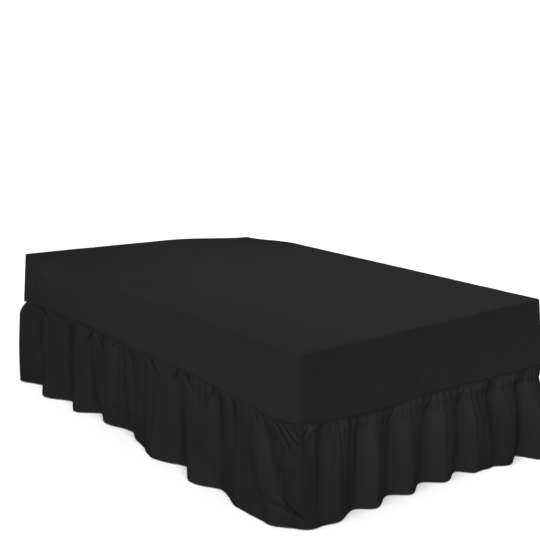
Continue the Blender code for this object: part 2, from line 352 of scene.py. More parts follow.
# Colours, and how much farther than elsewhere the cloth's colour is moved from the deep one to the pale one:
# painted light towards the foot; painted shade over the top's edge and beside the corner seams, which damps
# their highlight; and over the ranges of x and place beside their amounts: darker on the near side of the
# top, painted light on the upper near wall at the head end, and painted shade on the upper foot wall
PANEL_DEEP = (0.0052, 0.0052, 0.0052, 1.0)
PANEL_PALE = (0.0102, 0.0102, 0.0102, 1.0)
PANEL_THREAD = 0.0009
PAINTED_LIGHT_FROM, PAINTED_LIGHT_TO = 1.15, -0.15
PANEL_PAINTED_LIGHT = 0.32
EDGE_PAINTED_SHADE = -0.44
EDGE_SHADE_WIDTH = 0.007
NEAR_TOP_TONE, NEAR_TOP_X = -0.16, (-0.05, -0.67)
HEAD_WALL_PAINTED_LIGHT, HEAD_WALL_PLACE = 0.15, (0.95, 0.25)
FOOT_WALL_PAINTED_SHADE, FOOT_WALL_PLACE = -0.09, (2.30, 2.90)

# Height of the seam under the walls, by place
SEAM_LINE = np.array([
    (0.00, 0.383), (0.35, 0.391), (0.65, 0.398), (0.95, 0.391), (1.26, 0.392), (1.60, 0.378),
    (1.81, 0.367), (1.90, 0.380), (2.05, 0.364), (2.27, 0.349), (2.45, 0.354), (2.77, 0.346),
    (3.03, 0.336), (3.27, 0.337), (3.45, 0.350), (4.07, 0.376), (5.17, 0.380), (5.85, 0.380),
    (6.54, 0.378),
])

# The base stands proud of the mattress at the foot, so the walls lean out to it: how far each corner
# of the bed is carried outwards in x and y at LEAN_HEIGHT, the one at -X first
LEAN_HEIGHT = 0.33
HEAD_LEANS = np.array([(-0.015, 0.0), (0.0, 0.0)])
FOOT_LEANS = np.array([(0.0, -0.012), (0.015, -0.040)])

# Pitch of the smallest gathers, which pucker the wall's edge too
FINE_PITCH = 0.0125

# Soft drag lines in the walls: from one place and height to another, width across, and depth
Drag = namedtuple("Drag", "place height end_place end_height width depth")
WALL_DRAGS = [
    Drag(0.03, 0.585, 0.24, 0.470, 0.016, 0.0016),
    Drag(0.05, 0.560, 0.16, 0.420, 0.014, 0.0014),
    Drag(0.10, 0.590, 0.42, 0.520, 0.020, 0.0010),
    Drag(0.55, 0.395, 0.63, 0.500, 0.022, 0.0009),
    Drag(0.98, 0.392, 1.04, 0.520, 0.026, 0.0010),
    Drag(1.30, 0.390, 1.34, 0.560, 0.022, 0.0012),
    Drag(1.52, 0.385, 1.58, 0.590, 0.018, 0.0014),
    Drag(1.66, 0.380, 1.72, 0.560, 0.016, 0.0014),
    Drag(1.76, 0.372, 1.84, 0.500, 0.014, 0.0016),
    Drag(1.93, 0.545, 2.12, 0.395, 0.018, 0.0016),
    Drag(1.92, 0.480, 2.06, 0.375, 0.014, 0.0014),
    Drag(1.98, 0.590, 2.34, 0.420, 0.024, 0.0012),
    Drag(2.44, 0.345, 2.52, 0.480, 0.022, 0.0010),
    Drag(2.80, 0.340, 2.86, 0.520, 0.026, 0.0010),
    Drag(3.02, 0.400, 3.22, 0.560, 0.024, 0.0007),
    Drag(3.08, 0.335, 3.23, 0.480, 0.020, 0.0006),
    Drag(3.30, 0.560, 3.62, 0.400, 0.020, 0.0014),
    Drag(4.22, 0.380, 4.30, 0.520, 0.024, 0.0010),
    Drag(4.92, 0.420, 5.14, 0.570, 0.018, 0.0014),
    Drag(5.20, 0.560, 5.47, 0.430, 0.018, 0.0014),
    Drag(6.22, 0.430, 6.49, 0.570, 0.018, 0.0014),
]


def ease(at, start, end):
    """Smooth step, 3s² - 2s³ of the share s of the way from start to end: 0 up to the start and 1
    from the end on, level at both. The end may be lower than the start."""
    share = np.clip((at - start) / (end - start), 0.0, 1.0)
    return share * share * (3.0 - 2.0 * share)


def bell(at, middle, width):
    """exp(-s²) of the distance s from the middle in widths."""
    return np.exp(-(((at - middle) / width) ** 2))


def mix(start, end, share):
    """Straight blend: start at 0, end at 1."""
    return start + (end - start) * share


def curve_through(rows, at):
    """Smooth curve through (place, value) rows: cubic in each span, with the slope at a row taken
    from the rows on either side of it."""
    places, values = rows[:, 0], rows[:, 1]
    slopes = np.gradient(values, places)
    row = np.clip(np.searchsorted(places, at, side="right") - 1, 0, len(places) - 2)
    span = places[row + 1] - places[row]
    s = (at - places[row]) / span
    bend = (2 * s**3 - 3 * s**2 + 1) * values[row] + (3 * s**2 - 2 * s**3) * values[row + 1]
    return bend + span * ((s**3 - 2 * s**2 + s) * slopes[row] + (s**3 - s**2) * slopes[row + 1])


def ripples(along, across, seed, pitch, count=6):
    """Uneven broad waves: a sum of sines of two directions whose pitches and phases come from a
    seeded list, so that it never repeats in step; about -1 to 1."""
    chance = np.random.default_rng(seed)
    total = np.zeros(np.broadcast(along, across).shape)
    for _ in range(count):
        size = chance.uniform(0.7, 1.6)
        lean = chance.uniform(-1.0, 1.0)
        start = chance.uniform(0, 2 * math.pi)
        total = total + np.sin(2 * math.pi * (along + lean * across) / (pitch * size) + start)
    return total / math.sqrt(2 * count)


def tie_places(seed, pitch):
    """Places of the gathering stitches round the bed: steps of about the pitch, uneven by chance."""
    steps = np.random.default_rng(seed).uniform(0.6, 1.45, int(ROUND / pitch) + 2)
    return np.concatenate([[0.0], np.cumsum(steps)]) * (ROUND + 2.0) / steps.sum()


def between_ties(place, ties):
    """Which puff a place is in, and how full that puff is there: |sin(pi · share)| from tie to tie."""
    where = np.interp(place, ties, np.arange(len(ties)))
    puff = np.clip(where.astype(int), 0, len(ties) - 2)
    return puff, np.abs(np.sin(math.pi * (where - puff)))


def drag_line(place, height, line):
    """Soft furrow in a wall: depth times a bell of the distance from the line, with a lower ridge on
    one side, fading at both ends."""
    run = np.array((line.end_place - line.place, line.end_height - line.height))
    length = math.hypot(*run)
    along = ((place - line.place) * run[0] + (height - line.height) * run[1]) / length**2
    away = ((place - line.place) * run[1] - (height - line.height) * run[0]) / length
    fade = ease(along, 0.0, 0.3) * ease(along, 1.0, 0.7)
    furrow = bell(away, 0.0, line.width) - 0.6 * bell(away, 1.6 * line.width, line.width)
    return -line.depth * fade * furrow


def lean_out(points):
    """Carries points outwards by a share of the corners' leans, blended across the bed and towards its
    foot. The share goes straight from nothing at the top to one at LEAN_HEIGHT and back to nothing
    at the floor."""
    height = points[..., 2]
    share = np.where(height > LEAN_HEIGHT, (TOP - height) / (TOP - LEAN_HEIGHT), height / LEAN_HEIGHT)
    across = points[..., 0:1] / (2 * HALF_WIDTH) + 0.5
    to_foot = 0.5 - points[..., 1:2] / (2 * HALF_LENGTH)
    lean = mix(mix(*HEAD_LEANS, across), mix(*FOOT_LEANS, across), to_foot)
    leant = points.copy()
    leant[..., :2] += lean * share[..., None]
    return leant


def corner_spacing(gap, half_side):
    """Distance along a side from its nearest corner, for a gap that goes from 0 at the corner to 1 at
    the side's middle: three straight spans, with the smallest steps in the first."""
    close, closer = CLOSE_STEPS / RINGS, CLOSER_STEPS / RINGS
    first = gap / closer * CLOSER_REACH
    second = mix(CLOSER_REACH, CLOSE_REACH, (gap - closer) / (close - closer))
    third = mix(CLOSE_REACH, half_side, (gap - close) / (1.0 - close))
    return np.where(gap < closer, first, np.where(gap < close, second, third))


FINE_TIES = tie_places(seed=3, pitch=FINE_PITCH)


def wall_relief(place, height, seam, from_corner):
    """How far a wall's cloth stands out, and its height once it is drawn up or down: the drag lines;
    slack that ends at the corners; a pucker for each fine gather just above the lower seam; and by
    a corner seam a ridge, a groove and puckers, which are sines of the height with a phase that
    wanders."""
    drags = sum(drag_line(place, height, line) for line in WALL_DRAGS)
    slack = WALL_SLACK * ripples(place, height, seed=11, pitch=WALL_SLACK_PITCH)
    slack = slack * ease(from_corner, 0.0, SLACK_FREE)
    _, full = between_ties(place, FINE_TIES)
    near_seam = ease(height - seam, LOW_PUCKER_HEIGHT, 0.0) * (place < ROUND)
    low_pucker = LOW_PUCKER_OUT * near_seam * (full - 0.8)
    height = height - LOW_PUCKER_UP * near_seam * (full - 0.5)
    wander = 2.0 * np.sin(90.0 * height + 5.0 * place)
    pucker = PUCKER * np.sin(2 * math.pi * height / PUCKER_PITCH + wander)
    pucker = pucker * bell(from_corner, PUCKER_AT, PUCKER_WIDTH)
    ridge = SEAM_RIDGE * bell(from_corner, 0.0, SEAM_WIDTH)
    groove = GROOVE * bell(from_corner, GROOVE_AT, GROOVE_WIDTH)
    return drags + slack + low_pucker + pucker + ridge - groove, height


def top_relief(x, y):
    """How far the top's cloth stands up: broad slack, less towards the two long sides, and fine waves."""
    slack = TOP_SLACK * (1.0 + ripples(x, y, seed=23, pitch=TOP_SLACK_PITCH))
    slack = slack * (1.0 - SIDE_SLACK_LOSS * ease(np.abs(x) / HALF_WIDTH, 0.8, 1.0))
    return slack + TOP_CREASE * ripples(y, x, seed=31, pitch=TOP_CREASE_PITCH)


def panel_points():
    """The panel over a square grid (u, v) of rings round the middle, and its marks for the material.
    Ring by ring: the flat top grows to its edge, the edge turns through a quarter circle, the wall
    goes straight down, and the last rings are drawn in to the seam and turn up behind it. Round a
    ring, u or v is the way along a side, closer set towards the corners, which are quarter circles
    in plan."""
    steps = np.arange(-RINGS, RINGS + 1)
    u, v = np.meshgrid(steps, steps, indexing="ij")
    ring = np.maximum(np.abs(u), np.abs(v))
    on_long_side = np.abs(u) >= np.abs(v)
    share = np.where(on_long_side, v, u) / np.maximum(ring, 1)
    half_side = np.where(on_long_side, HALF_LENGTH, HALF_WIDTH)
    other_half = np.where(on_long_side, HALF_WIDTH, HALF_LENGTH)
    sign_u, sign_v = np.where(u < 0, -1.0, 1.0), np.where(v < 0, -1.0, 1.0)
    from_corner = corner_spacing(1.0 - np.abs(share), half_side)

    # plan, and the way that the cloth faces
    flat = np.clip(ring / TOP_RINGS, 0.0, 1.0)
    turn = np.clip((ring - TOP_RINGS) / EDGE_RINGS, 0.0, 1.0) * math.pi / 2
    radius = CORNER_RADIUS - EDGE_RADIUS * (1.0 - np.sin(turn))
    swing = np.clip(1.0 - from_corner / CORNER_RADIUS, 0.0, 1.0) * math.pi / 4
    out_at = other_half - CORNER_RADIUS + np.cos(swing) * radius
    side_at = half_side - np.maximum(from_corner, CORNER_RADIUS) + np.sin(swing) * radius
    x = sign_u * flat * np.where(on_long_side, out_at, side_at)
    y = sign_v * flat * np.where(on_long_side, side_at, out_at)
    normal = np.stack([
        sign_u * np.where(on_long_side, np.cos(swing), np.sin(swing)) * np.sin(turn),
        sign_v * np.where(on_long_side, np.sin(swing), np.cos(swing)) * np.sin(turn),
        np.cos(turn),
    ], axis=-1)

    # height: the worn top, the wall down to the seam, and the turned edge behind it
    along = half_side - from_corner
    place = np.where(
        on_long_side,
        np.where(u < 0, HALF_LENGTH - sign_v * along, FAR + HALF_LENGTH + sign_v * along),
        np.where(v < 0, NEAR + HALF_WIDTH + sign_u * along, ROUND + HALF_WIDTH - sign_u * along))
    seam = curve_through(SEAM_LINE, place)
    down = np.clip((ring - TOP_RINGS - EDGE_RINGS) / WALL_RINGS, 0.0, 1.0)
    wear_and_painted_light = ease(y, HALF_LENGTH - DIP_LENGTH, HALF_LENGTH) * ease(x, HALF_WIDTH - DIP_WIDTH, HALF_WIDTH)
    height = TOP - DIP_DEPTH * wear_and_painted_light - EDGE_RADIUS * (1.0 - np.cos(turn))
    height = mix(height, seam + WALL_FOOT, down)
    turned = np.clip(ring - (RINGS - TURNED_RINGS), 0, TURNED_RINGS)
    height = np.where(turned > 0, seam + SEAM_UP[turned], height)

    # the cloth's relief, and its marks
    on_wall = ease(ring, TOP_RINGS, TOP_RINGS + EDGE_RINGS)
    on_top = 1.0 - on_wall
    wall_lift, height = wall_relief(place, height, seam, from_corner)
    lift = on_wall * wall_lift + on_top * top_relief(x, y) - SEAM_IN[turned]
    points = np.stack([x, y, height], axis=-1) + normal * np.clip(lift, *LIFT_LIMITS)[..., None]

    # painted shade: a band over the top's edge and beside each corner seam, where the cloth is made deeper
    # to damp its highlight
    over_edge = bell(ring, TOP_RINGS + 0.5 * EDGE_RINGS, 0.6 * EDGE_RINGS)
    edge_shade_mask = np.maximum(over_edge, on_wall * bell(from_corner, 0.0, EDGE_SHADE_WIDTH))
    upper = on_wall * ease(down, 0.9, 0.0)
    # painted light on the upper near wall at the head end and painted shade on the upper foot wall; the near
    # side of the top is made darker too
    painted_light_and_tone = (on_top * NEAR_TOP_TONE * ease(x, *NEAR_TOP_X)
             + upper * HEAD_WALL_PAINTED_LIGHT * ease(place, *HEAD_WALL_PLACE)
             + upper * FOOT_WALL_PAINTED_SHADE * ease(place, *FOOT_WALL_PLACE) * (place < FAR))
    marks = {"edge_shade_mask": edge_shade_mask, "painted_light_and_tone": painted_light_and_tone, "from_corner": from_corner, "above_seam": height - seam}
    return points, marks


def lay_grid(name, points, finish):
    """Quads over a grid of points, corner by corner (row, column), (row + 1, column) and round."""
    rows, columns = points.shape[:2]
    number = np.arange(rows * columns).reshape(rows, columns)
    quads = np.stack([number[:-1, :-1], number[1:, :-1], number[1:, 1:], number[:-1, 1:]], axis=-1)
    mesh = bpy.data.meshes.new(name)
    mesh.from_pydata(points.reshape(-1, 3), [], quads.reshape(-1, 4))
    mesh.shade_smooth()
    mesh.materials.append(finish)
    made = bpy.data.objects.new(name, mesh)
    scene.collection.objects.link(made)
    return made, quads.reshape(-1, 4)


def keep_on(piece, name, values):
    """A number for each point of a piece, kept under a name for its material to read."""
    numbers = piece.data.attributes.new(name, "FLOAT", "POINT").data
    numbers.foreach_set("value", values.ravel().astype(np.float32))


def painted_foot_light(tree, where):
    """Painted light by the place along the bed, lighter towards the foot: a smooth step from nothing just
    past the head to one from the middle to the foot."""
    along = put(tree, "SeparateXYZ", n0=where).outputs[1]
    return put(tree, "MapRange", {"interpolation_type": "SMOOTHSTEP"}, Value=along,
               From_Min=PAINTED_LIGHT_FROM, From_Max=PAINTED_LIGHT_TO, To_Min=0.0, To_Max=1.0).outputs[0]


def panel_cloth():
    """Black polycotton: fine plain weave, faint blotches, painted light towards the foot, painted light and
    shade from its marks, painted shade over the top's edge and beside the corner seams, with a line of small
    stitches each side of every corner seam and a sunk line above the lower seam."""
    made, tree = start_cloth("panel_cloth")
    where = put(tree, "TexCoord").outputs["Object"]
    threads = place_group(tree, THREADS, Vector=where, Thread=PANEL_THREAD, Slubs=0.8)
    # painted shade over the top's edge and beside the corner seams, made uneven by noise, with painted light
    # towards the foot and the painted light and shade of the marks
    edge_shade_mask = put(tree, "Attribute", {"attribute_name": "edge_shade_mask"}).outputs["Fac"]
    uneven = put(tree, "TexNoise", Vector=where, Scale=38.0, Detail=3.0, Roughness=0.6).outputs[0]
    edge_shade = reckon(tree, "MULTIPLY", edge_shade_mask, reckon(tree, "MULTIPLY", uneven, EDGE_PAINTED_SHADE))
    wear_and_painted_light = reckon(tree, "MULTIPLY_ADD", painted_foot_light(tree, where), PANEL_PAINTED_LIGHT, edge_shade)
    painted_light_and_tone = put(tree, "Attribute", {"attribute_name": "painted_light_and_tone"}).outputs["Fac"]
    wear_and_painted_light = reckon(tree, "ADD", painted_light_and_tone, wear_and_painted_light)
    tone = place_group(tree, TONE, Vector=where, Deep=PANEL_DEEP, Pale=PANEL_PALE,
                       Thread_tone=threads.outputs["Tone"], Worn=wear_and_painted_light, Blotches=0.2)
    from_corner = put(tree, "Attribute", {"attribute_name": "from_corner"}).outputs["Fac"]
    above_seam = put(tree, "Attribute", {"attribute_name": "above_seam"}).outputs["Fac"]
    stitched = reckon(tree, "COMPARE", from_corner, SEAM_STITCH_AT, SEAM_STITCH_WIDTH)
    height = put(tree, "SeparateXYZ", n0=where).outputs[2]
    beat = reckon(tree, "SINE", reckon(tree, "MULTIPLY", height, 2 * math.pi / STITCH_PITCH))
    on_wall = reckon(tree, "LESS_THAN", height, TOP - 0.02)
    stitch = reckon(tree, "MULTIPLY", reckon(tree, "MULTIPLY", stitched, on_wall), beat)
    lower = reckon(tree, "COMPARE", above_seam, LOW_STITCH_AT, LOW_STITCH_WIDTH)
    relief = reckon(tree, "MULTIPLY_ADD", stitch, STITCH_HEIGHT, threads.outputs["Height"])
    relief = reckon(tree, "MULTIPLY_ADD", lower, LOW_STITCH_HEIGHT, relief)
    finish_cloth(tree, tone.outputs["Colour"], tone.outputs["Roughness"], relief,
                 strength=0.45, depth=0.0002, shine=0.0)
    return made


points, marks = panel_points()
panel, _ = lay_grid("fitted_panel_cloth", lean_out(points), panel_cloth())
for name, values in marks.items():
    keep_on(panel, name, values)
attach(panel, "root")
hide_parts("fitted_panel")


# ---------------------------------------------------------------------------------------------
# The frill: one long strip of the same black cloth, gathered by its upper edge onto the walls'
# lower edge and hanging to just above the floor. Its hem and both end hems are turned in and sewn.
SEWN_AT = -0.0010
BEHIND = -0.0040
HEM_CORNER = 0.120
DROP = 0.38
HEM_LINE = np.array([(0.00, 0.008), (1.90, 0.005), (3.27, 0.005), (4.42, 0.008), (5.17, 0.012)])
HEM_TURN = 0.014
FULLNESS = 1.35

# The grid: columns are steps of place, and rows are shares of the drop. Both are closer set where
# the gathers and creases are. The end hems and the bottom hem turn back on the inside.
NEAR_STEP, FAR_STEP = 0.00215, 0.0030
END_HEM_BACK = np.array([0.0120, 0.0040, 0.0005])
END_HEM_IN = np.array([-0.0012, -0.0012, -0.0007])
TUCKED_ROWS = [-0.033, -0.010]
GATHER_END, DROP_END = 0.200, 0.955
GATHER_ROWS = GATHER_END * (np.arange(18) / 17) ** 1.25
DROP_ROWS = mix(GATHER_END, DROP_END, 1.0 - (1.0 - np.arange(1, 22) / 21) ** 1.4)
HEM_ROWS = [0.975, 0.992, 1.000, 0.997, 0.985, 0.965]
HEM_ROWS_IN = [-0.0008, -0.0012, -0.0012]

# Values that differ between the long sides and the foot, as (side, foot), and where the foot's hold:
# the power that rounds a crest; how sharply hollows are pinched, and how far down; how far the folds
# take to rise from the seam, and by what power; how uneven the gathers are; how far down they are
# clear of the seam; and the height and reach of the fine and the paired ones
FOOT_BEGINS, FOOT_ENDS = (1.95, 2.10), (3.30, 3.15)
TUBE = (1.2, 0.95)
PINCH, PINCH_REACH = (0.5, 0.10), 0.20
RISE_REACH, RISE_POWER = (0.40, 0.42), (1.1, 1.5)
UNEVEN = (0.75, 0.35)
CLEAR_REACH = (0.060, 0.075)
FINE_HEIGHT, FINE_REACH = (0.0030, 0.0070), (0.09, 0.10)
PAIRED_HEIGHT, PAIRED_REACH = (0.0050, 0.0140), (0.14, 0.17)

# Below the neck the folds go over from their shape at the seam to that at the hem: early where they
# stand farther out at the hem, by one power up to the far corner and another past it, and late
# elsewhere. At the strip's free end at the near head corner, the first shape is reached at the neck.
NECK = 0.16
FREE_END = (0.09, 0.03)
CREST_POWER, CREST_POWER_FAR, FAR_FOLDS = 1.8, 1.15, (3.18, 3.30)
HOLLOW_POWER = 1.6

# The near side hangs slack in the middle of its drop, its folds half flattened
SLACK_OUT, SLACK_SHARE = 0.014, 0.5
SLACK_BEGINS, SLACK_ENDS = (0.10, 0.20), (1.70, 1.50)

# Gathers come fine and in pairs, bunched unevenly along the seam; swells and ripples lie below them
PAIRED_PITCH = 0.029
BUNCHED, UNEVEN_PITCH = 0.75, 0.17
SWELL_HEIGHT, SWELL_PITCH, SWELL_AT_HEM = 0.0040, 0.066, 0.6
RIPPLE_HEIGHT, RIPPLE_PITCH = 0.0016, 0.12

# Colours, deeper than the panel's as painted shade on the same cloth, and how much farther than elsewhere
# the colour is moved from the deep one to the pale one: painted light towards the foot and on the foot,
# painted shade low down past the foot's middle, painted shade in creases for each metre of their depth and
# down to the darkest, painted light in the near side's hollows, and painted light under the seam at the near
# corner
FRILL_SHADED_DEEP = (0.0036, 0.0036, 0.0036, 1.0)
FRILL_SHADED_PALE = (0.0096, 0.0096, 0.0096, 1.0)
FRILL_THREAD = 0.0009
FRILL_PAINTED_LIGHT = 0.21
FOOT_PAINTED_LIGHT = 0.30
FAR_PAINTED_SHADE, FAR_SHADE_PLACE = -0.17, (2.60, 3.00)
FAR_SHADE_RETURN, FAR_SHADE_RETURN_PLACE = 0.3, (2.88, 3.03)
CREASE_PAINTED_SHADE, CREASE_SHADE_DARKEST = 35.0, -0.007
HOLLOW_PAINTED_LIGHT, HOLLOW_OUT = 0.13, 0.016
CORNER_PAINTED_LIGHT, CORNER_PLACE, CORNER_SPREAD = 0.22, 1.95, 0.06

# The hem's sewn line, the puckers that it pulls, and the pale rub along its fold
HEM_STITCH_PITCH = 0.0030
HEM_STITCH_AT, HEM_STITCH_WIDTH = HEM_TURN - 0.002, 0.0006
HEM_PULL, HEM_PULL_END, HEM_PULL_SCALE = 3.0, 0.035, (95.0, 14.0, 0.0)
RUB_HEIGHT, RUB_TONE = 0.006, 0.35

# Every crest and hollow in turn: place at the seam, place at the hem, and how far it stands out
# from the wall's plane just under the seam and at the hem
PLACE_AT_SEAM, PLACE_AT_HEM, OUT_AT_SEAM, OUT_AT_HEM = range(4)
FOLDS = np.array([
    # near side
    (0.028, 0.052, 0.032, 0.056), (0.150, 0.190, -0.002, -0.002), (0.262, 0.300, 0.024, 0.067),
    (0.395, 0.460, -0.006, -0.012), (0.500, 0.545, 0.019, 0.045), (0.600, 0.650, -0.010, -0.044),
    (0.700, 0.730, 0.015, 0.002), (0.845, 0.890, -0.009, -0.038), (0.950, 0.990, 0.014, -0.002),
    (1.080, 1.150, 0.022, 0.036), (1.225, 1.300, -0.008, -0.024), (1.345, 1.395, 0.022, 0.040),
    (1.470, 1.528, -0.006, -0.012),
    # near corner
    (1.560, 1.655, 0.020, 0.023), (1.615, 1.735, 0.012, 0.020), (1.665, 1.800, 0.024, 0.015),
    (1.725, 1.900, -0.008, 0.008), (1.850, 1.960, 0.022, 0.022), (1.990, 2.008, -0.010, 0.020),
    # foot
    (2.050, 2.084, 0.028, 0.038), (2.168, 2.188, 0.000, 0.006), (2.222, 2.264, 0.030, 0.049),
    (2.328, 2.360, 0.002, 0.008), (2.385, 2.446, 0.032, 0.054), (2.516, 2.544, 0.000, 0.014),
    (2.572, 2.630, 0.034, 0.069), (2.706, 2.728, 0.002, 0.036), (2.757, 2.790, 0.034, 0.087),
    (2.915, 2.882, 0.002, 0.096), (2.974, 2.964, 0.036, 0.128), (3.120, 3.048, 0.000, 0.092),
    (3.165, 3.112, 0.032, 0.172),
    # far corner
    (3.255, 3.230, 0.006, 0.136), (3.320, 3.320, 0.034, 0.160), (3.410, 3.430, -0.006, 0.090),
    # far side
    (3.510, 3.540, 0.034, 0.108), (3.620, 3.650, -0.010, 0.034), (3.735, 3.765, 0.032, 0.062),
    (3.850, 3.870, -0.012, 0.002), (3.970, 3.985, 0.030, 0.048), (4.085, 4.090, -0.010, -0.004),
    (4.215, 4.220, 0.034, 0.042), (4.355, 4.350, -0.014, -0.018), (4.470, 4.475, 0.028, 0.034),
    (4.590, 4.595, -0.014, -0.024), (4.715, 4.710, 0.030, 0.028), (4.840, 4.845, -0.012, -0.006),
    (4.965, 4.970, 0.032, 0.044), (5.065, 5.075, 0.000, 0.010), (5.142, 5.162, 0.032, 0.034),
])

# Sharper creases: where each would start at the seam and end at the hem (both as the place at the
# seam of the cloth's own line down), the share of the drop that it runs from and to, half width,
# and depth (a negative depth is a ridge). One eases in from a little before its start to past it.
CREASE_LEAD, CREASE_RISE = 0.024, 0.056
Crease = namedtuple("Crease", "top foot start end width depth")
CREASES = [
    # near side: short creases fan out from the tightest gathers, with broad slack dents below some
    Crease(0.055, 0.050, 0.00, 0.45, 0.012, 0.003),
    Crease(0.165, -0.585, 0.00, 0.08, 0.010, 0.004),
    Crease(0.170, 1.055, 0.00, 0.17, 0.018, 0.005),
    Crease(0.215, 0.215, 0.00, 0.12, 0.040, 0.005),
    Crease(0.360, 0.366, 0.01, 0.20, 0.012, 0.005),
    Crease(0.335, 0.300, 0.00, 0.12, 0.010, 0.004),
    Crease(0.450, 0.455, 0.04, 0.52, 0.060, 0.008),
    Crease(0.500, 0.505, 0.00, 0.16, 0.010, 0.004),
    Crease(0.660, 0.235, 0.00, 0.24, 0.012, 0.008),
    Crease(0.662, 1.040, 0.00, 0.22, 0.020, 0.004),
    Crease(0.720, 0.745, 0.00, 0.26, 0.040, 0.006),
    Crease(0.850, 0.330, 0.00, 0.14, 0.012, 0.005),
    Crease(0.905, 1.230, 0.00, 0.22, 0.020, 0.004),
    Crease(0.950, 0.960, 0.00, 0.28, 0.030, 0.005),
    Crease(1.055, 1.500, 0.00, 0.22, 0.020, 0.004),
    Crease(1.090, 1.110, 0.00, 0.20, 0.030, 0.004),
    Crease(1.265, 0.960, 0.00, 0.20, 0.012, 0.008),
    Crease(1.290, 1.730, 0.00, 0.20, 0.020, 0.004),
    Crease(1.320, 1.330, 0.00, 0.14, 0.036, 0.006),
    Crease(1.474, 1.235, 0.02, 0.34, 0.016, 0.007),
    Crease(1.458, 1.120, 0.03, 0.16, 0.010, 0.004),
    Crease(1.520, 2.600, 0.00, 0.10, 0.016, 0.003),
    Crease(1.500, 1.490, 0.05, 0.50, 0.040, 0.007),
    Crease(1.572, 1.575, 0.04, 0.50, 0.032, 0.006),
    Crease(1.685, 1.740, 0.00, 0.20, 0.010, 0.004),
    # near corner: long drags run round it from the side to the foot
    Crease(1.700, 1.655, 0.10, 0.85, 0.026, -0.004),
    Crease(1.360, 1.880, 0.69, 0.94, 0.025, 0.007),
    Crease(0.560, 2.000, 0.76, 0.92, 0.050, 0.007),
    Crease(1.780, 2.120, 0.00, 0.28, 0.013, 0.006),
    Crease(1.812, 2.240, 0.02, 0.22, 0.011, 0.005),
    Crease(1.845, 2.300, 0.02, 0.16, 0.009, 0.004),
    Crease(1.960, 1.930, 0.00, 0.40, 0.050, -0.008),
    Crease(1.965, 1.520, 0.00, 0.17, 0.010, 0.003),
    Crease(1.945, 1.700, 0.00, 0.14, 0.010, 0.003),
    Crease(2.000, 1.975, 0.00, 0.92, 0.022, 0.006),
    Crease(2.062, 2.000, 0.00, 0.62, 0.013, 0.004),
    # foot: a deep pleat line beside each tube, and short ones in its gathers
    Crease(2.100, 2.080, 0.00, 0.30, 0.010, 0.004),
    Crease(2.135, 2.180, 0.00, 0.26, 0.010, 0.004),
    Crease(2.163, 2.176, 0.00, 0.95, 0.014, 0.004),
    Crease(2.215, 2.120, 0.00, 0.16, 0.009, 0.004),
    Crease(2.262, 2.420, 0.00, 0.24, 0.010, 0.004),
    Crease(2.312, 2.335, 0.00, 0.60, 0.020, 0.003),
    Crease(2.350, 2.150, 0.00, 0.20, 0.012, 0.005),
    Crease(2.395, 2.480, 0.00, 0.18, 0.010, 0.004),
    Crease(2.440, 2.520, 0.00, 0.20, 0.010, 0.004),
    Crease(2.513, 2.515, 0.00, 0.60, 0.020, 0.003),
    Crease(2.550, 2.380, 0.00, 0.22, 0.012, 0.005),
    Crease(2.605, 2.760, 0.00, 0.26, 0.011, 0.005),
    Crease(2.640, 2.780, 0.00, 0.30, 0.012, 0.004),
    Crease(2.705, 2.715, 0.00, 0.60, 0.018, 0.003),
    Crease(2.735, 2.610, 0.00, 0.30, 0.012, 0.006),
    Crease(2.775, 2.755, 0.00, 0.85, 0.018, 0.005),
    Crease(2.905, 2.875, 0.00, 0.84, 0.054, 0.009),
    Crease(3.048, 3.030, 0.00, 0.54, 0.042, -0.010),
    Crease(3.165, 3.180, 0.00, 0.85, 0.013, 0.005),
    # far corner and far side
    Crease(3.290, 3.050, 0.00, 0.25, 0.012, 0.005),
    Crease(3.350, 3.350, 0.00, 0.90, 0.016, 0.006),
    Crease(3.460, 3.440, 0.00, 0.70, 0.016, 0.005),
    Crease(3.680, 3.660, 0.00, 0.50, 0.016, 0.005),
    Crease(3.920, 3.945, 0.00, 0.80, 0.016, 0.005),
    Crease(4.040, 4.320, 0.00, 0.22, 0.012, 0.005),
    Crease(4.280, 4.300, 0.00, 0.60, 0.016, 0.005),
    Crease(4.530, 4.220, 0.00, 0.22, 0.012, 0.005),
    Crease(4.660, 4.650, 0.00, 0.80, 0.016, 0.005),
    Crease(4.900, 4.920, 0.00, 0.60, 0.016, 0.005),
]


def bed_side(place, corner):
    """Centre line in plan. The heading turns a quarter circle at each foot corner, over a stretch of
    place equal to the two straights that the arc replaces; the point is the arc's centre plus the
    corner's radius along the outward normal."""
    heading = math.pi / 2 * (np.clip((place - NEAR + corner) / (2 * corner), 0, 1)
                             + np.clip((place - FAR + corner) / (2 * corner), 0, 1))
    normal_x, normal_y = -np.cos(heading), -np.sin(heading)
    middle_x = np.clip(place - NEAR - HALF_WIDTH, corner - HALF_WIDTH, HALF_WIDTH - corner)
    middle_y = np.maximum(np.maximum(HALF_LENGTH - place, place - FAR - HALF_LENGTH), corner - HALF_LENGTH)
    return middle_x + corner * normal_x, middle_y + corner * normal_y, normal_x, normal_y


def fold_shape(where, column, tube, pinch):
    """Standing out by the fold list's column. From crest to hollow it follows a smooth step of the
    share to the power `tube`, so that a crest is a broad round tube and a hollow narrow; where the
    cloth is pinched it goes over to a quarter cosine, which meets in a sharp line in the hollow."""
    row = np.clip(np.floor(where).astype(int), 0, len(FOLDS) - 2)
    share = where - row
    first, second = FOLDS[row, column], FOLDS[row + 1, column]
    falling = first > second
    from_crest = np.where(falling, share, 1.0 - share)
    crest, hollow = np.maximum(first, second), np.minimum(first, second)
    soft = ease(from_crest**tube, 0.0, 1.0)
    sharp = 1.0 - np.cos(from_crest ** (0.75 * tube) * math.pi / 2)
    return mix(crest, hollow, mix(soft, sharp, pinch))


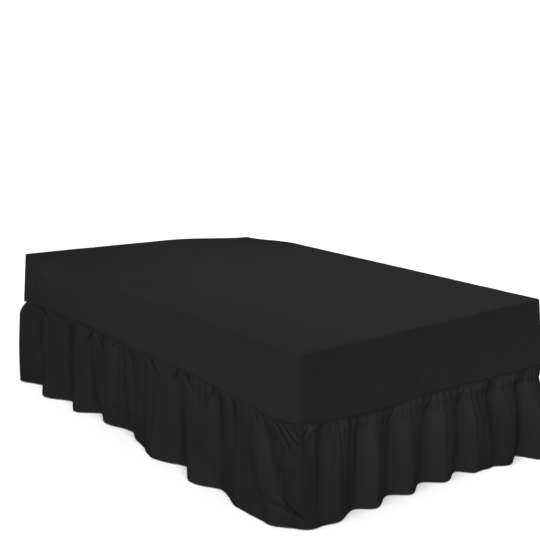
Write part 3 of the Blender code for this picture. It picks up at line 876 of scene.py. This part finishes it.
def puffs(place, fall, ties, seed, height, reach):
    """Puffs between ties: height · (|sin(pi · share)|^0.65 - 0.6) across each, uneven in size, each
    dying away down the cloth as a bell of the fall in its own lengths."""
    puff, full = between_ties(place, ties)
    chance = np.random.default_rng(seed)
    size = chance.uniform(0.5, 1.4, len(ties))[puff]
    length = reach * chance.uniform(0.6, 1.6, len(ties))[puff]
    return height * size * (full**0.65 - 0.60) * bell(fall, 0.0, length)


def swells(place, ties, seed, height):
    """Soft slack folds: height · (half - half cosine) across each span, uneven in size, less half
    the height, so that they go both ways."""
    where = np.interp(place, ties, np.arange(len(ties)))
    span = np.clip(where.astype(int), 0, len(ties) - 2)
    size = np.random.default_rng(seed).uniform(0.3, 1.5, len(ties))[span]
    return height * size * (0.5 - 0.5 * np.cos(2 * math.pi * (where - span))) - 0.5 * height


def crease_line(line_at, fall, line):
    """Furrow along a straight line down the cloth: depth · (1 - |x| / width)² across it, with a low
    shoulder each side, easing in round its start and out from its middle to its end."""
    x = np.abs(line_at - mix(line.top, line.foot, fall)) / line.width
    furrow = np.clip(1.0 - x, 0.0, 1.0) ** 2 - 0.30 * np.clip(1.0 - np.abs(x - 1.5), 0.0, 1.0) ** 2
    middle = 0.5 * (line.start + line.end)
    fade = ease(fall, line.start - CREASE_LEAD, line.start + CREASE_RISE) * ease(fall, line.end, middle)
    return -line.depth * furrow * fade


def frill_grid():
    """The columns' places along the seam and how far each is set in, then the rows' shares of the
    drop and how far each is set in. The end hems and the bottom hem turn back on the inside."""
    first, last = FOLDS[0, PLACE_AT_SEAM], FOLDS[-1, PLACE_AT_SEAM]
    near_places = np.arange(first, FAR + 0.02, NEAR_STEP)
    far_places = np.arange(near_places[-1] + FAR_STEP, last, FAR_STEP)
    seam_place = np.concatenate([first + END_HEM_BACK, near_places, far_places, last - END_HEM_BACK[::-1]])
    end_inset = np.zeros(len(seam_place))
    end_inset[:3] = END_HEM_IN
    end_inset[-3:] = END_HEM_IN[::-1]
    drops = np.concatenate([TUCKED_ROWS, GATHER_ROWS, DROP_ROWS, HEM_ROWS])
    row_inset = np.zeros(len(drops))
    row_inset[-3:] = HEM_ROWS_IN
    return seam_place, end_inset, drops, row_inset


def fold_hang(seam_at, fall, where, at_foot):
    """How far the folds hang out, and the share of that which they have reached. The hang is their
    shape at the seam down to the neck, and below it goes over to their shape at the hem, by a power
    of what is left of the drop where that stands farther out, and by a power of what is past where
    it doesn't; the near side goes over to SLACK_OUT in the middle of its drop. The share rises from
    the seam over its reach, by a power of what is left of it."""
    tube = mix(mix(*TUBE, at_foot), 1.0, ease(fall, 0.0, 1.0))
    pinch = mix(*PINCH, at_foot) * ease(fall, PINCH_REACH, 0.0)
    high = fold_shape(where, OUT_AT_SEAM, tube, pinch)
    low = fold_shape(where, OUT_AT_HEM, tube, pinch)
    free_end = ease(seam_at, *FREE_END)
    reach = mix(mix(*RISE_REACH, at_foot), NECK, free_end)
    rise = 1.0 - (1.0 - np.clip(fall / reach, 0.0, 1.0)) ** mix(mix(*RISE_POWER, at_foot), 2.0, free_end)
    hung = np.clip((fall - NECK) / (1.0 - NECK), 0.0, 1.0)
    quick = mix(CREST_POWER, CREST_POWER_FAR, ease(seam_at, *FAR_FOLDS))
    hang = mix(high, low, np.where(low > high, 1.0 - (1.0 - hung) ** quick, hung**HOLLOW_POWER))
    slack = SLACK_SHARE * ease(seam_at, *SLACK_BEGINS) * ease(seam_at, *SLACK_ENDS)
    hang = mix(hang, SLACK_OUT, slack * (1.0 - at_foot) * ease(fall, 0.0, 0.30) * ease(fall, 1.0, 0.65))
    return hang, rise


def gathered_relief(seam_at, fall, place, at_foot):
    """What lies on the folds: puffs between the fine and the paired gathers, bunched here and there,
    with soft swells and ripples that ease in below them."""
    fine = puffs(seam_at, fall, FINE_TIES, seed=3,
                 height=mix(*FINE_HEIGHT, at_foot), reach=mix(*FINE_REACH, at_foot))
    paired = puffs(seam_at, fall, tie_places(seed=5, pitch=PAIRED_PITCH), seed=6,
                   height=mix(*PAIRED_HEIGHT, at_foot), reach=mix(*PAIRED_REACH, at_foot))
    bunched = BUNCHED + mix(*UNEVEN, at_foot) * ripples(seam_at, 0.0, seed=17, pitch=UNEVEN_PITCH)
    swell = swells(place, tie_places(seed=9, pitch=SWELL_PITCH), seed=10, height=SWELL_HEIGHT)
    swell = swell * mix(1.0, SWELL_AT_HEM, ease(fall, 0.0, 1.0))
    ripple = RIPPLE_HEIGHT * ripples(place, 0.37 * fall, seed=41, pitch=RIPPLE_PITCH)
    return bunched * (fine + paired) + (swell + ripple) * ease(fall, 0.0, 0.30)


def frill_points():
    """The strip as columns (place along the seam) by rows (share of the drop): its points, the same
    points on the cloth laid flat, and the painted light and shade on each. Each point lies on the line from
    its place at the seam to its place at the hem, standing out from the bed's outline by the folds and,
    once clear of the seam, by the gathers and the creases."""
    seam_place, end_inset, drops, row_inset = frill_grid()
    seam_at, drop = np.meshgrid(seam_place, drops)
    fall = np.maximum(drop, 0.0)
    where = np.interp(seam_at, FOLDS[:, PLACE_AT_SEAM], np.arange(len(FOLDS)))
    hem_at = np.interp(where, np.arange(len(FOLDS)), FOLDS[:, PLACE_AT_HEM])
    place = mix(seam_at, hem_at, fall)
    at_foot = ease(seam_at, *FOOT_BEGINS) * ease(seam_at, *FOOT_ENDS)

    hang, rise = fold_hang(seam_at, fall, where, at_foot)
    creased = sum(crease_line(seam_at, fall, line) for line in CREASES)
    relief = gathered_relief(seam_at, fall, place, at_foot) + creased
    out = mix(SEWN_AT, hang, rise) + relief * ease(fall / mix(*CLEAR_REACH, at_foot), 0.0, 1.0)
    out = np.where(drop < 0.0, BEHIND, out + row_inset[:, None]) + end_inset

    x, y, normal_x, normal_y = bed_side(place, mix(CORNER_RADIUS, HEM_CORNER, fall))
    height = mix(curve_through(SEAM_LINE, seam_at), curve_through(HEM_LINE, hem_at), drop)
    points = np.stack([x + normal_x * out, y + normal_y * out, height], axis=-1)

    # laid flat, the rows that turn back lie below the hem's fold
    cloth = np.stack([seam_at * FULLNESS, (1.0 - drop) * DROP], axis=-1)
    cloth[-3:, :, 1] *= -1.0
    return points, cloth, frill_painted_light(seam_at, fall, at_foot, hang, creased)


def frill_painted_light(seam_at, fall, at_foot, hang, creased):
    """Painted light and shade, as a share towards the pale colour: painted light on the foot, with painted
    shade low down past its middle; painted shade in the creases; painted light in the near side's hollows
    and under the seam at the near corner; each eased in and out by place and by fall."""
    # painted light on the foot, with painted shade low down past its middle
    far = ease(seam_at, *FAR_SHADE_PLACE) * (1.0 - FAR_SHADE_RETURN * ease(seam_at, *FAR_SHADE_RETURN_PLACE))
    foot = at_foot * mix(FOOT_PAINTED_LIGHT, FAR_PAINTED_SHADE, far * ease(fall, 0.0, 0.35)) * ease(fall, -0.02, 0.06)
    # painted shade in the creases
    crease = CREASE_PAINTED_SHADE * np.clip(creased, CREASE_SHADE_DARKEST, 0.0)
    # painted light in the near side's hollows and under the seam at the near corner
    hollow = HOLLOW_PAINTED_LIGHT * (1.0 - at_foot) * ease(hang, HOLLOW_OUT, 0.0) * ease(fall, 0.0, 0.06)
    corner = CORNER_PAINTED_LIGHT * bell(seam_at, CORNER_PLACE, CORNER_SPREAD) * ease(fall, 0.40, 0.0)
    return foot + crease + hollow + corner


def frill_cloth():
    """The same black cloth, a touch deeper as painted shade, with painted light towards the foot and the
    painted
    light and shade of its marks: weave on the cloth's own flat lay, a sewn line above the hem's fold with
    the small puckers that it pulls, drawn out down the cloth, and a faint pale rub along the fold."""
    made, tree = start_cloth("frill_cloth")
    lay = put(tree, "UVMap", {"uv_map": "flat_lay"}).outputs[0]
    threads = place_group(tree, THREADS, Vector=lay, Thread=FRILL_THREAD, Slubs=0.8)
    split = put(tree, "SeparateXYZ", n0=lay)
    rubbed = put(tree, "MapRange", Value=split.outputs[1], From_Min=0.0, From_Max=RUB_HEIGHT,
                 To_Min=RUB_TONE, To_Max=0.0)
    where = put(tree, "TexCoord").outputs["Object"]
    painted_light_and_tone = put(tree, "Attribute", {"attribute_name": "painted_light_and_tone"}).outputs["Fac"]
    wear_and_painted_light = reckon(tree, "MULTIPLY_ADD", painted_foot_light(tree, where), FRILL_PAINTED_LIGHT, rubbed.outputs[0])
    wear_and_painted_light = reckon(tree, "ADD", painted_light_and_tone, wear_and_painted_light)
    tone = place_group(tree, TONE, Vector=lay, Deep=FRILL_SHADED_DEEP, Pale=FRILL_SHADED_PALE,
                       Thread_tone=threads.outputs["Tone"], Worn=wear_and_painted_light, Blotches=0.2)
    beat = reckon(tree, "SINE", reckon(tree, "MULTIPLY", split.outputs[0], 2 * math.pi / HEM_STITCH_PITCH))
    sewn = reckon(tree, "COMPARE", split.outputs[1], HEM_STITCH_AT, HEM_STITCH_WIDTH)
    stitch = reckon(tree, "MULTIPLY", sewn, reckon(tree, "MULTIPLY_ADD", beat, 1.0, -0.6))
    drawn_out = put(tree, "VectorMath", {"operation": "MULTIPLY"}, n0=lay, n1=HEM_PULL_SCALE).outputs[0]
    pull = put(tree, "TexNoise", Vector=drawn_out, Scale=1.0, Detail=1.0)
    near_hem = put(tree, "MapRange", Value=split.outputs[1], From_Min=HEM_TURN, From_Max=HEM_PULL_END,
                   To_Min=HEM_PULL, To_Max=0.0).outputs[0]
    relief = reckon(tree, "MULTIPLY_ADD", stitch, STITCH_HEIGHT, threads.outputs["Height"])
    relief = reckon(tree, "MULTIPLY_ADD", pull.outputs[0], near_hem, relief)
    finish_cloth(tree, tone.outputs["Colour"], tone.outputs["Roughness"], relief,
                 strength=0.45, depth=0.0002, shine=0.0)
    return made


points, cloth, painted_light_and_tone = frill_points()
frill, quads = lay_grid("frill_cloth", lean_out(points), frill_cloth())
flat_lay = frill.data.uv_layers.new(name="flat_lay")
flat_lay.data.foreach_set("uv", cloth.reshape(-1, 2)[quads.ravel()].astype(np.float32).ravel())
keep_on(frill, "painted_light_and_tone", painted_light_and_tone)
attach(frill, "root")
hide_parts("frill")
